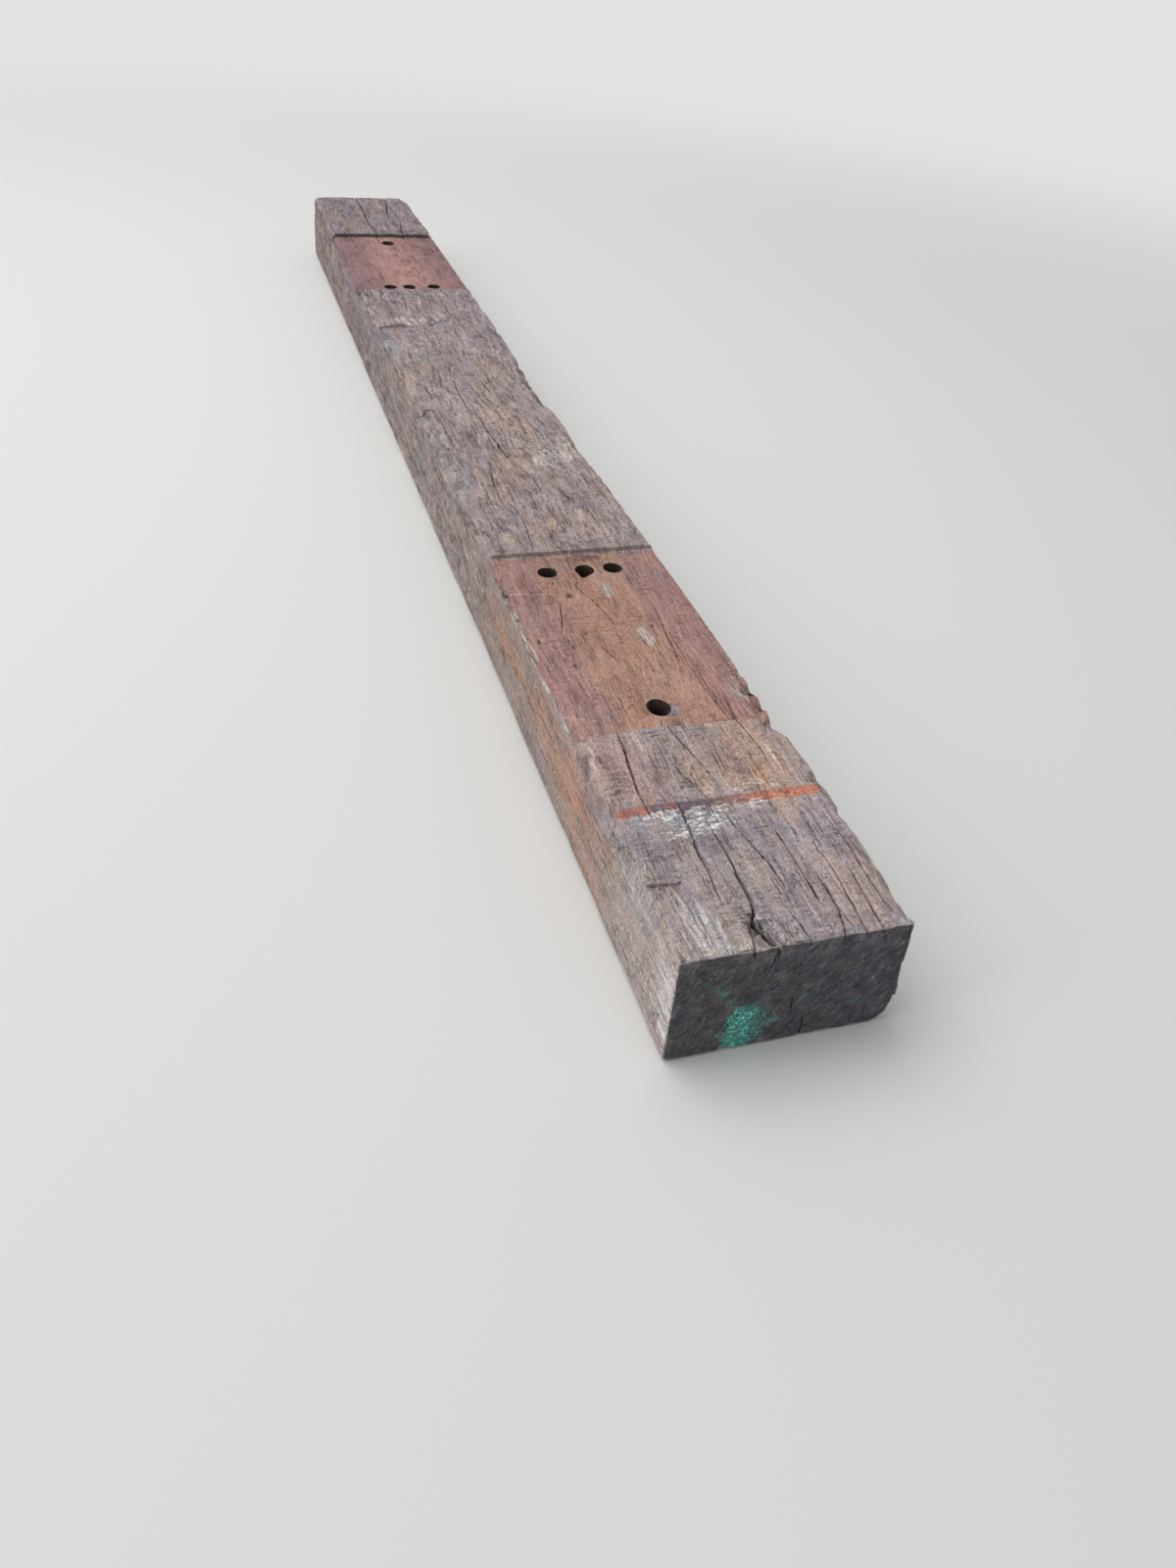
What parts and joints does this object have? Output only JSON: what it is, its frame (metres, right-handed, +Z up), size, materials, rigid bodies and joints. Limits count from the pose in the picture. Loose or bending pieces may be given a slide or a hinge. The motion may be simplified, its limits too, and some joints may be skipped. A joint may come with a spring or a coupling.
{
  "type": "railway sleeper",
  "caption": "Used timber railway sleeper with two adzed rail seats, through-bored screw holes, worn and waney edges, drying splits and weathered grey-brown faces.",
  "frame": {"origin": "middle of the underside, at the centre of the sleeper's length and width", "axes": "+X along the timber towards the end that is nearest in the picture, +Y across it towards the picture's right, +Z up out of the face that the rails sat on"},
  "size_m": [2.6, 0.24, 0.135],
  "materials": {
    "weathered_timber": "dry weathered, matte"
  },
  "bodies": {
    "root": {"sleeper": "weathered_timber"}
  },
  "joints": []
}
